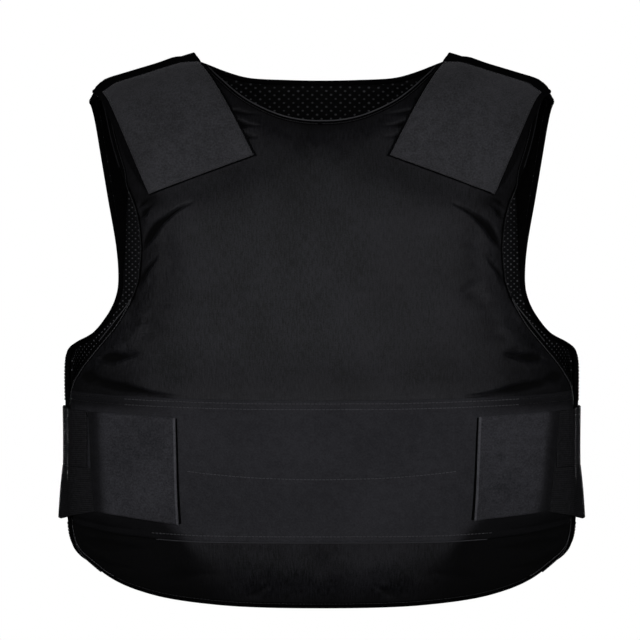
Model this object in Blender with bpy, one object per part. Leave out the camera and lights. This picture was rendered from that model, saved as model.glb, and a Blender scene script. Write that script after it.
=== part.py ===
"""Body armour vest, kept in the shape it takes on a wearer.

A padded front panel and a padded back panel hang from two broad shoulder straps. Elastic webbing sewn
to the back comes round the waist on each side and ends in a tab that grips the belly band.

Frame: metres, +Z up, the front faces -Y, +X is the wearer's left (the viewer's right from the front).
Origin: the seat of the shoulder straps. x = 0 in the plane of symmetry, y = 0 in the crest of the
shoulders, z = 0 at the underside of the strap where it crests beside the neck.

Every cloth piece is cut flat, in girth (arc length from the centre line) and height, and is then bent
round the body. Pieces that lie on each other are cut on the same lines, so their faces stay parallel.
"""
import math

import bpy
import bmesh
import numpy as np

# Thicknesses and gaps
PANEL_EDGE = 0.0044
PANEL_FULL = 0.0100
PANEL_RAMP = 0.042
BINDING_WIDTH = 0.0090
BINDING_PROUD = 0.0001
LINING_THICKNESS = 0.0014
BAND_THICKNESS = 0.0018
TAB_THICKNESS = 0.0026
STRAP_THICKNESS = 0.0030
PATCH_THICKNESS = 0.0018
ELASTIC_THICKNESS = 0.0016
SEAM_GAP = 0.0004
RESTING_GAP = 0.0006

# Elastic webbing
ELASTIC_FRONT_END = 0.2260
ELASTIC_BACK_END = 0.4020
ELASTIC_SIDE_OFFSET = 0.0054
ELASTIC_FLARE = 0.0062

# The wearer, level by level
BODY_SECTIONS = (
    # height, half_width, front_depth, back_depth
    (0.080, 0.2430, 0.112, 0.094),
    (-0.100, 0.2430, 0.118, 0.098),
    (-0.195, 0.2430, 0.122, 0.098),
    (-0.285, 0.2430, 0.123, 0.094),
    (-0.355, 0.2420, 0.124, 0.091),
    (-0.415, 0.2415, 0.124, 0.091),
    (-0.460, 0.2385, 0.120, 0.092),
    (-0.525, 0.2300, 0.104, 0.093),
)
SIDE_POWER = 2.5
FIRM_HALF_WIDTH = 0.240
FIRM_DEPTH = {"front": 0.122, "back": 0.094}
CREST_X = 0.125
CREST_SLOPE = 0.30
# facing: (height of the rounding under the crest, power)
SHOULDER = {"front": (0.165, 2.3), "back": (0.150, 3.2)}
OTHER = {"front": "back", "back": "front"}

# Cutting lines: distance from the side line, and height
SIDE_LINES = (0.0, 0.0125, 0.0255, 0.039, 0.053, 0.068, 0.085, 0.104, 0.126, 0.151, 0.178, 0.206, 0.236, 0.268)
HEIGHT_LINES = (
    -0.500, -0.471, -0.442, -0.413, -0.384, -0.355, -0.326, -0.298, -0.271, -0.245, -0.220, -0.196,
    -0.174, -0.153, -0.133, -0.115, -0.098, -0.081, -0.065, -0.049, -0.033, -0.017, -0.001, 0.015, 0.030,
    0.045, 0.060, 0.075, 0.090, 0.106, 0.123,
)

# Half outlines, from the centre at the neck down to the centre at the hem
FRONT_OUTLINE = (
    # girth, height
    (0.0000, -0.0640),
    (0.0200, -0.0625),
    (0.0410, -0.0566),
    (0.0651, -0.0436),
    (0.0814, -0.0293),
    (0.0980, -0.0075),
    (0.1090, 0.0120),
    (0.1190, 0.0225),
    (0.1350, 0.0215),
    (0.1950, 0.0080),
    (0.2090, 0.0020),
    (0.2140, -0.0110),
    (0.2086, -0.0386),
    (0.2000, -0.0758),
    (0.1859, -0.1169),
    (0.1735, -0.1456),
    (0.1685, -0.1736),
    (0.1692, -0.1985),
    (0.1760, -0.2260),
    (0.1930, -0.2480),
    (0.2130, -0.2690),
    (0.2420, -0.2960),
    (0.2545, -0.3104),
    (0.2605, -0.3297),
    (0.2615, -0.3600),
    (0.2605, -0.4330),
    (0.2585, -0.4520),
    (0.2500, -0.4660),
    (0.2270, -0.4800),
    (0.2070, -0.4925),
    (0.1838, -0.5015),
    (0.1489, -0.5094),
    (0.0983, -0.5144),
    (0.0567, -0.5157),
    (0.0000, -0.5160),
)
BACK_OUTLINE = (
    # girth, height
    (0.0000, -0.0115),
    (0.0353, -0.0114),
    (0.0687, -0.0096),
    (0.0857, -0.0046),
    (0.1018, 0.0050),
    (0.1150, 0.0240),
    (0.1205, 0.0420),
    (0.1290, 0.0520),
    (0.1440, 0.0510),
    (0.1980, 0.0350),
    (0.2170, 0.0240),
    (0.2270, 0.0050),
    (0.2281, -0.0181),
    (0.2223, -0.0675),
    (0.2125, -0.1255),
    (0.2030, -0.1780),
    (0.2010, -0.2115),
    (0.2045, -0.2284),
    (0.2130, -0.2440),
    (0.2290, -0.2610),
    (0.2520, -0.2700),
    (0.2730, -0.2790),
    (0.2815, -0.2960),
    (0.2830, -0.3300),
    (0.2830, -0.4300),
    (0.2805, -0.4540),
    (0.2665, -0.4703),
    (0.2386, -0.4862),
    (0.1950, -0.4990),
    (0.1450, -0.5060),
    (0.0750, -0.5090),
    (0.0000, -0.5095),
)
BAND_OUTLINE = (
    # girth, height, kept as a corner
    (0.000, -0.3230, False),
    (0.066, -0.3228, False),
    (0.114, -0.3216, False),
    (0.158, -0.3200, False),
    (0.187, -0.3186, False),
    (0.227, -0.3162, False),
    (0.246, -0.3146, True),
    (0.246, -0.4380, True),
    (0.232, -0.4410, False),
    (0.210, -0.4450, False),
    (0.176, -0.4492, False),
    (0.130, -0.4520, False),
    (0.066, -0.4526, False),
    (0.000, -0.4526, False),
)
STRAP_OUTLINE = (
    # girth, height
    (0.0570, -0.0995),
    (0.1092, 0.0060),
    (0.1165, 0.0320),
    (0.1195, 0.0600),
    (0.1200, 0.1480),
    (0.2070, 0.1220),
    (0.2120, 0.1180),
    (0.2150, 0.0400),
    (0.2145, 0.0050),
    (0.2120, -0.0170),
    (0.1560, -0.1355),
)
PATCH_OUTLINE = (
    # girth, height
    (0.0610, -0.0973),
    (0.1122, 0.0058),
    (0.2088, -0.0164),
    (0.1553, -0.1317),
)
# The tabs were pressed on by hand: the wearer's right one reaches farther in than the left one
TAB_OUTLINE = {
    "left": ((0.1410, -0.3383), (0.2230, -0.3332), (0.2110, -0.4265), (0.1376, -0.4334)),
    "right": ((-0.1314, -0.3392), (-0.2171, -0.3340), (-0.2122, -0.4265), (-0.1293, -0.4371)),
}
ELASTIC_ROWS = {
    # webbing: top at the tab, bottom at the tab, top at the side, bottom at the side
    "upper": (-0.3330, -0.3852, -0.3310, -0.3852),
    "lower": (-0.3880, -0.4275, -0.3880, -0.4370),
}
PANEL_FOLDS = (
    # girth, height, direction in degrees, length, width, rise
    (0.141, -0.166, 118.0, 0.080, 0.013, -0.0022),
    (0.162, -0.208, 112.0, 0.060, 0.012, -0.0018),
    (0.182, -0.281, 12.0, 0.075, 0.014, -0.0030),
    (0.185, -0.303, 168.0, 0.080, 0.012, -0.0022),
    (0.190, -0.464, 176.0, 0.080, 0.012, -0.0020),
)

CLOTH_COLOURS = {
    # slot: base colour, roughness
    "shell_cloth": ((0.018, 0.018, 0.020, 1.0), 0.92),
    "loop_cloth": ((0.021, 0.021, 0.023, 1.0), 0.97),
    "webbing": ((0.008, 0.008, 0.009, 1.0), 0.80),
    "elastic": ((0.009, 0.009, 0.010, 1.0), 0.85),
    "binding_tape": ((0.006, 0.006, 0.007, 1.0), 0.80),
    "mesh_lining": ((0.004, 0.004, 0.005, 1.0), 0.85),
}


def quarter_table(across, along, power, steps=1500):
    """Arc length against angle on a quarter of a superellipse."""
    angle = np.linspace(0, math.pi / 2, steps)
    u = across * np.sin(angle) ** (2 / power)
    v = along * np.cos(angle) ** (2 / power)
    length = np.concatenate([[0], np.cumsum(np.hypot(np.diff(u), np.diff(v)))])
    return length, angle


GIRTH = {side: quarter_table(FIRM_HALF_WIDTH, FIRM_DEPTH[side], SIDE_POWER) for side in OTHER}
ARCH = {side: quarter_table(SHOULDER[side][0], FIRM_DEPTH[side], SHOULDER[side][1]) for side in OTHER}
QUARTER = {side: GIRTH[side][0][-1] for side in OTHER}
ARCH_LENGTH = {side: ARCH[side][0][-1] for side in OTHER}


def section_value(height, column):
    """A column of the body table at any height, as a smooth curve."""
    rows = np.array(BODY_SECTIONS)[::-1]
    levels, values = rows[:, 0], rows[:, column]
    slope = np.gradient(values, levels)
    i = np.clip(np.searchsorted(levels, height) - 1, 0, len(levels) - 2)
    h = levels[i + 1] - levels[i]
    t = np.clip((height - levels[i]) / h, 0, 1)
    start = values[i] * (1 + 2 * t) * (1 - t) ** 2 + h * slope[i] * t * (1 - t) ** 2
    end = values[i + 1] * t * t * (3 - 2 * t) + h * slope[i + 1] * t * t * (t - 1)
    return start + end


def girth_angle(girth, facing):
    """Angle on the body's section, and whether the cloth has passed the side line."""
    g = np.abs(girth)
    other = OTHER[facing]
    past = g > QUARTER[facing]
    beyond = np.interp(QUARTER[other] - (g - QUARTER[facing]), *GIRTH[other])
    return np.where(past, beyond, np.interp(g, *GIRTH[facing])), past


def body_points(girth, height, facing):
    """Points of the body under a cloth laid on the front or the back."""
    girth, height = np.broadcast_arrays(np.asarray(girth, float), np.asarray(height, float))
    angle, past = girth_angle(girth, facing)
    column = {"front": 2, "back": 3}
    x = section_value(height, 1) * np.sin(angle) ** (2 / SIDE_POWER)
    reach = np.cos(angle) ** (2 / SIDE_POWER)
    crest = -CREST_SLOPE * (x - CREST_X)
    y = np.zeros_like(x)
    z = np.zeros_like(x)
    for first in (facing, OTHER[facing]):
        second = OTHER[first]
        rounding, power = SHOULDER[first]
        start = crest - rounding
        over = height - start - ARCH_LENGTH[first]
        a = np.interp(np.clip(height - start, 0, None), *ARCH[first])
        y_up = section_value(height, column[first]) * reach * np.cos(a) ** (2 / power)
        z_up = np.where(height > start, start + rounding * np.sin(a) ** (2 / power), height)
        # past the crest the cloth runs down the other half
        rounding, power = SHOULDER[second]
        left = ARCH_LENGTH[second] - over
        a = np.interp(np.clip(left, 0, None), *ARCH[second])
        level = crest - rounding + left
        y_down = -section_value(level, column[second]) * reach * np.cos(a) ** (2 / power)
        z_down = crest - rounding + np.where(left > 0, rounding * np.sin(a) ** (2 / power), left)
        here = past != (first == facing)
        sign = -1 if first == "front" else 1
        y = np.where(here, sign * np.where(over > 0, y_down, y_up), y)
        z = np.where(here, np.where(over > 0, z_down, z_up), z)
    return np.stack([np.sign(girth) * x, y, z], -1)


def worn(girth, height, facing, offset, step=4e-4):
    """Cloth points at a distance from the body."""
    girth, height = np.broadcast_arrays(np.asarray(girth, float), np.asarray(height, float))
    across = body_points(girth + step, height, facing) - body_points(girth - step, height, facing)
    along = body_points(girth, height + step, facing) - body_points(girth, height - step, facing)
    normal = np.cross(across, along) * (1 if facing == "front" else -1)
    normal /= np.linalg.norm(normal, axis=-1, keepdims=True)
    return body_points(girth, height, facing) + normal * np.broadcast_to(offset, girth.shape)[..., None]


def cut_line(rows, spacing, closed=True):
    """A smooth line through a table's points, in pieces of about the spacing."""
    points = np.array([row[:2] for row in rows], float)
    corner = [len(row) > 2 and bool(row[2]) for row in rows]
    count = len(points)
    line = []
    for i in range(count if closed else count - 1):
        p0, p1, p2, p3 = (points[(i + k) % count] for k in (-1, 0, 1, 2))
        length = np.linalg.norm(p2 - p1)
        if corner[i] or (not closed and i == 0):
            start = p2 - p1
        else:
            start = (p2 - p0) / max(np.linalg.norm(p2 - p0), 1e-9) * length
        if corner[(i + 1) % count] or (not closed and i == count - 2):
            end = p2 - p1
        else:
            end = (p3 - p1) / max(np.linalg.norm(p3 - p1), 1e-9) * length
        parts = max(1, round(length / spacing))
        for k in range(parts):
            t = k / parts
            line.append(
                p1 * (1 + 2 * t) * (1 - t) ** 2 + start * t * (1 - t) ** 2
                + p2 * t * t * (3 - 2 * t) + end * t * t * (t - 1)
            )
    if not closed:
        line.append(points[-1])
    return np.array(line)


def both_halves(rows):
    """A half outline and its mirror image as one closed outline."""
    mirrored = [(-row[0],) + tuple(row[1:]) for row in rows[-2:0:-1]]
    return tuple(rows) + tuple(mirrored)


def even_line(outline, spacing):
    """A closed line in equal pieces."""
    ring = np.vstack([outline, outline[:1]])
    length = np.concatenate([[0], np.cumsum(np.linalg.norm(np.diff(ring, axis=0), axis=1))])
    parts = round(length[-1] / spacing)
    at = np.arange(parts) * length[-1] / parts
    return np.stack([np.interp(at, length, ring[:, k]) for k in (0, 1)], -1)


def inward_normals(outline):
    tangent = np.roll(outline, -1, 0) - np.roll(outline, 1, 0)
    tangent /= np.linalg.norm(tangent, axis=1, keepdims=True)
    area = np.sum(outline[:, 0] * np.roll(outline[:, 1], -1) - np.roll(outline[:, 0], -1) * outline[:, 1])
    turn = 1 if area > 0 else -1
    return np.stack([-tangent[:, 1], tangent[:, 0]], -1) * turn


def distance_inside(girth, height, outline):
    """Distance from the outline for points inside it, and zero outside."""
    p = np.stack([np.ravel(girth), np.ravel(height)], -1)
    a = outline
    b = np.roll(outline, -1, 0)
    best = np.full(len(p), 1e9)
    inside = np.zeros(len(p), bool)
    for start, end in zip(a, b):
        along = end - start
        t = np.clip(((p - start) @ along) / (along @ along), 0, 1)
        best = np.minimum(best, np.linalg.norm(p - start - t[:, None] * along, axis=1))
        if end[1] != start[1]:
            crosses = (start[1] > p[:, 1]) != (end[1] > p[:, 1])
            at = (end[0] - start[0]) * (p[:, 1] - start[1]) / (end[1] - start[1]) + start[0]
            inside ^= crosses & (p[:, 0] < at)
    return np.where(inside, best, 0.0).reshape(np.shape(girth))


def fold_rise(girth, height):
    """Height of the creases of the front panel, the same on both sides."""
    g = np.abs(girth)
    rise = np.zeros_like(g)
    for at_girth, at_height, direction, length, width, height_of_fold in PANEL_FOLDS:
        turn = math.radians(direction)
        along = (g - at_girth) * math.cos(turn) + (height - at_height) * math.sin(turn)
        across = -(g - at_girth) * math.sin(turn) + (height - at_height) * math.cos(turn)
        fade = np.cos(np.clip(along / length, -0.5, 0.5) * math.pi) ** 2
        rise += height_of_fold * fade * np.exp(-((across / width) ** 2))
    return rise


FRONT_EDGE = cut_line(both_halves(FRONT_OUTLINE), 0.010)
BACK_EDGE = cut_line(both_halves(BACK_OUTLINE), 0.010)


def padding(girth, height, edge):
    """Thickness of a panel: thin at its bound edge and full inside."""
    t = np.clip(distance_inside(girth, height, edge) / PANEL_RAMP, 0, 1)
    return PANEL_EDGE + (PANEL_FULL - PANEL_EDGE) * t * t * (3 - 2 * t)


def front_outside(girth, height):
    return padding(girth, height, FRONT_EDGE) + fold_rise(girth, height)


def back_outside(girth, height):
    return padding(girth, height, BACK_EDGE)


def band_seat(girth, height):
    return front_outside(girth, height) + RESTING_GAP


def tab_seat(girth, height):
    return band_seat(girth, height) + BAND_THICKNESS + RESTING_GAP


def strap_seat(girth, height):
    """Underside of a shoulder strap: on the front panel, over the crest and down the back panel."""
    angle, _ = girth_angle(girth, "front")
    x = FIRM_HALF_WIDTH * np.sin(angle) ** (2 / SIDE_POWER)
    crest = -CREST_SLOPE * (x - CREST_X)
    over = height - (crest - SHOULDER["front"][0] + ARCH_LENGTH["front"])
    back_girth = np.interp(angle, GIRTH["back"][1], GIRTH["back"][0])
    back_height = crest - SHOULDER["back"][0] + ARCH_LENGTH["back"] - over
    on_front = front_outside(girth, height) + RESTING_GAP + 0.0003
    on_back = back_outside(back_girth, back_height) + RESTING_GAP + 0.0018
    blend = np.clip(over / 0.03 + 0.5, 0, 1)
    return on_front * (1 - blend) + on_back * blend


def elastic_seat(girth, height):
    """Underside of the webbing: over the belly band, free at the side, then on the back panel."""
    g = np.abs(girth)
    on_band = front_outside(g, height) + BAND_THICKNESS + 2 * RESTING_GAP
    back_girth = QUARTER["front"] + QUARTER["back"] - g
    on_back = back_outside(back_girth, height) + RESTING_GAP + BINDING_PROUD
    leave = np.clip((g - 0.2495) / 0.0138, 0, 1)
    land = np.clip((g - QUARTER["front"] + 0.004) / 0.012, 0, 1)
    seat = on_band * (1 - leave) + ELASTIC_SIDE_OFFSET * leave
    seat = seat * (1 - land) + np.maximum(on_back, ELASTIC_SIDE_OFFSET) * land
    low = np.clip((-0.385 - height) / 0.052, 0, 1)
    free = np.clip((g - 0.236) / 0.040, 0, 1) * np.clip((0.338 - g) / 0.040, 0, 1)
    return seat + ELASTIC_FLARE * low * free


def lattice(facing):
    """Girths of the cutting lines on both sides of the centre."""
    lines = {0.0}
    for distance in SIDE_LINES:
        for girth in (QUARTER[facing] - distance, QUARTER[facing] + distance):
            lines.update((girth, -girth))
    return sorted(lines)


def cut_flat(outline, facing):
    """The flat piece, cut on the shared lines and divided into triangles."""
    mesh = bmesh.new()
    mesh.faces.new([mesh.verts.new((g, h, 0)) for g, h in outline])
    planes = [((girth, 0, 0), (1, 0, 0)) for girth in lattice(facing)]
    planes += [((0, height, 0), (0, 1, 0)) for height in HEIGHT_LINES]
    for point, direction in planes:
        everything = mesh.verts[:] + mesh.edges[:] + mesh.faces[:]
        bmesh.ops.bisect_plane(mesh, geom=everything, dist=0.0012, plane_co=point, plane_no=direction)
    for face in [f for f in mesh.faces if len(f.verts) == 4]:
        corners = sorted(face.verts, key=lambda v: abs(v.co.x) + v.co.y)
        if not any(corners[0] in e.verts and corners[3] in e.verts for e in face.edges):
            bmesh.utils.face_split(face, corners[0], corners[3])
    left = [f for f in mesh.faces if len(f.verts) > 3]
    bmesh.ops.triangulate(mesh, faces=left, quad_method="SHORT_EDGE", ngon_method="BEAUTY")
    return mesh


def finish(mesh, name, slot):
    """Turn a closed mesh outward and keep it as a named object with its own material."""
    bmesh.ops.recalc_face_normals(mesh, faces=mesh.faces)
    if mesh.calc_volume(signed=True) < 0:
        bmesh.ops.reverse_faces(mesh, faces=mesh.faces)
    data = bpy.data.meshes.new(name)
    mesh.to_mesh(data)
    mesh.free()
    data.polygons.foreach_set("use_smooth", [False] * len(data.polygons))
    colour, roughness = CLOTH_COLOURS[slot]
    material = bpy.data.materials.new(slot + "_" + name)
    material.use_nodes = True
    surface = material.node_tree.nodes["Principled BSDF"]
    surface.inputs["Base Color"].default_value = colour
    surface.inputs["Roughness"].default_value = roughness
    data.materials.append(material)
    piece = bpy.data.objects.new(name, data)
    bpy.context.scene.collection.objects.link(piece)
    return piece


def cloth_piece(name, slot, outline, facing, inner, outer):
    """Cut a piece, thicken it between two offsets and bend it round the body."""
    mesh = cut_flat(outline, facing)
    flat = mesh.verts[:]
    faces = mesh.faces[:]
    grown = bmesh.ops.extrude_face_region(mesh, geom=faces, use_keep_orig=True)["geom"]
    top = [item for item in grown if isinstance(item, bmesh.types.BMVert)]
    for verts, offset in ((flat, inner), (top, outer)):
        g = np.array([v.co.x for v in verts])
        h = np.array([v.co.y for v in verts])
        for vert, place in zip(verts, worn(g, h, facing, offset(g, h))):
            vert.co = place
    return finish(mesh, name, slot)


def binding(name, outline, facing):
    """The folded tape round a panel's edge, as one closed ring."""
    ring = even_line(outline, 0.0225)
    inward = inward_normals(ring)
    section = (
        # inset, share of the thickness
        (0.0008, 0.04),
        (0.0000, 0.45),
        (0.0010, 0.97),
        (BINDING_WIDTH, 1.0),
        (BINDING_WIDTH, 0.0),
    )
    edge = FRONT_EDGE if facing == "front" else BACK_EDGE
    mesh = bmesh.new()
    loops = []
    for inset, share in section:
        at = ring + inward * inset
        thickness = padding(at[:, 0], at[:, 1], edge) + BINDING_PROUD
        loops.append([mesh.verts.new(p) for p in worn(at[:, 0], at[:, 1], facing, thickness * share)])
    count = len(ring)
    for k, loop in enumerate(loops):
        after = loops[(k + 1) % len(loops)]
        for i in range(count):
            j = (i + 1) % count
            mesh.faces.new((loop[i], loop[j], after[j]))
            mesh.faces.new((loop[i], after[j], after[i]))
    return finish(mesh, name, "binding_tape")


def panel_outline(edge):
    """The padded part of a panel, inside its binding."""
    ring = even_line(edge, 0.0225)
    return ring + inward_normals(ring) * (BINDING_WIDTH + 0.0009)


def mirrored(outline, side):
    sign = 1 if side == "left" else -1
    return np.array([(sign * g, h) for g, h in outline])


def plus(seat, rise):
    return lambda g, h: seat(g, h) + rise


def flat_offset(value):
    return lambda g, h: np.full_like(g, value)


def build_vest():
    cloth_piece("front_panel", "shell_cloth", panel_outline(FRONT_EDGE), "front", flat_offset(0.0), front_outside)
    cloth_piece("back_panel", "shell_cloth", panel_outline(BACK_EDGE), "back", flat_offset(0.0), back_outside)
    ring = even_line(BACK_EDGE, 0.0225)
    lining_outline = ring + inward_normals(ring) * 0.0095
    lining_inner = flat_offset(-SEAM_GAP - LINING_THICKNESS)
    cloth_piece("back_lining", "mesh_lining", lining_outline, "back", lining_inner, flat_offset(-SEAM_GAP))
    binding("front_binding", FRONT_EDGE, "front")
    binding("back_binding", BACK_EDGE, "back")

    band = cut_line(both_halves(BAND_OUTLINE), 0.030)
    cloth_piece("belly_band", "loop_cloth", band, "front", band_seat, plus(band_seat, BAND_THICKNESS))

    patch_seat = plus(strap_seat, STRAP_THICKNESS + RESTING_GAP)
    for side in ("left", "right"):
        strap = mirrored(STRAP_OUTLINE, side)
        strap_name = "shoulder_strap_" + side
        cloth_piece(strap_name, "webbing", strap, "front", strap_seat, plus(strap_seat, STRAP_THICKNESS))
        patch = mirrored(PATCH_OUTLINE, side)
        patch_name = "shoulder_patch_" + side
        cloth_piece(patch_name, "loop_cloth", patch, "front", patch_seat, plus(patch_seat, PATCH_THICKNESS))

        tab = np.array(TAB_OUTLINE[side])
        cloth_piece("waist_tab_" + side, "loop_cloth", tab, "front", tab_seat, plus(tab_seat, TAB_THICKNESS))

        for level, (top_in, bottom_in, top_out, bottom_out) in ELASTIC_ROWS.items():
            webbing = mirrored(
                (
                    (ELASTIC_FRONT_END, top_in),
                    (0.270, top_out),
                    (ELASTIC_BACK_END, top_out),
                    (ELASTIC_BACK_END, bottom_out),
                    (0.270, bottom_out),
                    (ELASTIC_FRONT_END, bottom_in),
                ),
                side,
            )
            elastic_name = "waist_elastic_" + level + "_" + side
            above = plus(elastic_seat, ELASTIC_THICKNESS)
            cloth_piece(elastic_name, "elastic", webbing, "front", elastic_seat, above)


for old in list(bpy.data.objects):
    bpy.data.objects.remove(old, do_unlink=True)
build_vest()
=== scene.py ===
"""The looks of the body armour vest: padded panels, napped closure cloth, elastic webbing, stitching and light.

Every cloth piece is laid out flat in girth (arc length from the centre line) and height, and is then bent
round the same body as the frame's solids, so a piece lies where its solid lies. Lengths are in metres.
"""

import math

import bpy
import bmesh
import numpy as np
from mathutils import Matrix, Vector


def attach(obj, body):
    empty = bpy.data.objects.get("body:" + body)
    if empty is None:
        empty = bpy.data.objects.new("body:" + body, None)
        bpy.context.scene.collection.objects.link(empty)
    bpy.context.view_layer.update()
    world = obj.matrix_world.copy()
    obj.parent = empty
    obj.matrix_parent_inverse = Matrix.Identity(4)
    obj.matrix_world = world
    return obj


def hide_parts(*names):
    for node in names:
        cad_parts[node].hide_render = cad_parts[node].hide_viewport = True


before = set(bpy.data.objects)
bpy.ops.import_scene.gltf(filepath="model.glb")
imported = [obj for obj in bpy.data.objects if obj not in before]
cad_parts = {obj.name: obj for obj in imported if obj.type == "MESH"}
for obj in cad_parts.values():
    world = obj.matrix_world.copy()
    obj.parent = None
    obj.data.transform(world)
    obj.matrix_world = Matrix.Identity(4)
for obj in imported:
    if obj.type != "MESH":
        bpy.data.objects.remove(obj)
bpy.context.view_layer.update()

# Thicknesses and gaps of the frame's solids
PANEL_EDGE = 0.0044
PANEL_FULL = 0.0100
PANEL_RAMP = 0.026
TAPE_INSIDE = 0.0052
TAPE_SHOWN = 0.0064
TAPE_NARROW = 0.0022
BAND_THICKNESS = 0.0018
TAB_THICKNESS = 0.0026
STRAP_THICKNESS = 0.0030
PATCH_THICKNESS = 0.0018
ELASTIC_THICKNESS = 0.0016
RESTING_GAP = 0.0006
ELASTIC_BACK_END = 0.4020
ELASTIC_SIDE_OFFSET = 0.0054
ELASTIC_FLARE = 0.0062

# The wearer, level by level, as in the frame
BODY_SECTIONS = (
    # height, half_width, front_depth, back_depth
    (0.080, 0.2430, 0.112, 0.094),
    (-0.100, 0.2430, 0.118, 0.098),
    (-0.195, 0.2430, 0.122, 0.098),
    (-0.285, 0.2430, 0.123, 0.094),
    (-0.355, 0.2420, 0.124, 0.091),
    (-0.415, 0.2415, 0.124, 0.091),
    (-0.460, 0.2385, 0.120, 0.092),
    (-0.525, 0.2300, 0.104, 0.093),
)
SIDE_POWER = 2.5
FIRM_HALF_WIDTH = 0.240
FIRM_DEPTH = {"front": 0.122, "back": 0.094}
CREST_X = 0.125
CREST_SLOPE = 0.30
SHOULDER_END = 0.198
SHOULDER_DROP = 0.0095
SHOULDER_ROUNDING = 0.026
SHOULDER_SINK = 0.0020
SHOULDER_SINK_START = 0.128
# facing: (height of the rounding under the crest, power)
SHOULDER = {"front": (0.165, 2.3), "back": (0.150, 3.2)}
OTHER = {"front": "back", "back": "front"}

# Half outlines, from the centre at the neck down to the centre at the hem
FRONT_OUTLINE = (
    # girth, height
    (0.0000, -0.0640), (0.0200, -0.0625), (0.0410, -0.0566), (0.0651, -0.0436), (0.0814, -0.0293),
    (0.0980, -0.0075), (0.1090, 0.0120), (0.1190, 0.0225), (0.1350, 0.0215), (0.1950, 0.0080),
    (0.2090, 0.0020), (0.2140, -0.0110), (0.2086, -0.0386), (0.2000, -0.0758), (0.1859, -0.1169),
    (0.1735, -0.1456), (0.1685, -0.1736), (0.1692, -0.1985), (0.1760, -0.2260), (0.1930, -0.2480),
    (0.2130, -0.2690), (0.2420, -0.2960), (0.2545, -0.3104), (0.2605, -0.3297), (0.2615, -0.3600),
    (0.2605, -0.4330), (0.2585, -0.4520), (0.2500, -0.4660), (0.2270, -0.4800), (0.2060, -0.4915),
    (0.1830, -0.5000), (0.1489, -0.5078), (0.0983, -0.5134), (0.0567, -0.5154), (0.0000, -0.5160),
)
BACK_OUTLINE = (
    # girth, height
    (0.0000, -0.0106), (0.0353, -0.0098), (0.0687, -0.0074), (0.0857, -0.0020), (0.1018, 0.0080),
    (0.1150, 0.0240), (0.1205, 0.0420), (0.1290, 0.0520), (0.1440, 0.0510), (0.1980, 0.0350),
    (0.2220, 0.0270), (0.2282, 0.0090), (0.2287, -0.0150), (0.2223, -0.0675), (0.2125, -0.1255),
    (0.2030, -0.1780), (0.2010, -0.2115), (0.2045, -0.2284), (0.2130, -0.2440), (0.2290, -0.2610),
    (0.2520, -0.2700), (0.2730, -0.2790), (0.2815, -0.2960), (0.2830, -0.3300), (0.2830, -0.4300),
    (0.2805, -0.4540), (0.2665, -0.4703), (0.2386, -0.4862), (0.1950, -0.4990), (0.1450, -0.5060),
    (0.0750, -0.5090), (0.0000, -0.5095),
)
BAND_ROWS = (
    # girth, height of the top edge, height of the bottom edge
    (0.000, -0.3230, -0.4526),
    (0.066, -0.3228, -0.4526),
    (0.114, -0.3216, -0.4522),
    (0.158, -0.3200, -0.4502),
    (0.187, -0.3186, -0.4478),
    (0.227, -0.3162, -0.4418),
    (0.246, -0.3146, -0.4380),
)
# Rows of four-sided pieces: inner and outer edge, from one end to the other
# The strap's outer edge runs up to about 9 mm past its patch at mid height: partly the strap's own margin,
# partly painted shade, its dark webbing widened over the shade beside the patch.
STRAP_ROWS = (
    # inner girth, inner height, outer girth, outer height
    (0.0584, -0.0982, 0.1562, -0.1338),
    (0.0643, -0.0864, 0.1670, -0.1210),
    (0.0733, -0.0681, 0.1800, -0.1005),
    (0.0852, -0.0439, 0.1912, -0.0755),
    (0.0976, -0.0187, 0.2037, -0.0475),
    (0.1100, 0.0064, 0.2147, -0.0172),
    (0.1134, 0.0200, 0.2203, -0.0067),
    (0.1166, 0.0320, 0.2236, 0.0048),
    (0.1180, 0.0460, 0.2246, 0.0215),
    (0.1195, 0.0600, 0.2236, 0.0390),
    (0.1200, 0.0950, 0.2160, 0.0750),
    (0.1200, 0.1480, 0.2070, 0.1215),
)
PATCH_ROWS = (
    (0.0608, -0.0985, 0.1556, -0.1335),
    (0.1122, 0.0058, 0.2088, -0.0164),
)
TAB_ROWS = {
    "left": ((0.1376, -0.4334, 0.2110, -0.4265), (0.1410, -0.3383, 0.2230, -0.3332)),
    "right": ((0.1293, -0.4371, 0.2122, -0.4265), (0.1314, -0.3392, 0.2171, -0.3340)),
}
ELASTIC_ROWS = {
    # webbing: girth, bottom, top at each station
    "upper": ((0.2190, -0.3868, -0.3334), (0.2700, -0.3868, -0.3310), (0.4020, -0.3868, -0.3310)),
    "lower": ((0.2100, -0.4272, -0.3868), (0.2700, -0.4370, -0.3868), (0.4020, -0.4370, -0.3868)),
}
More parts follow.
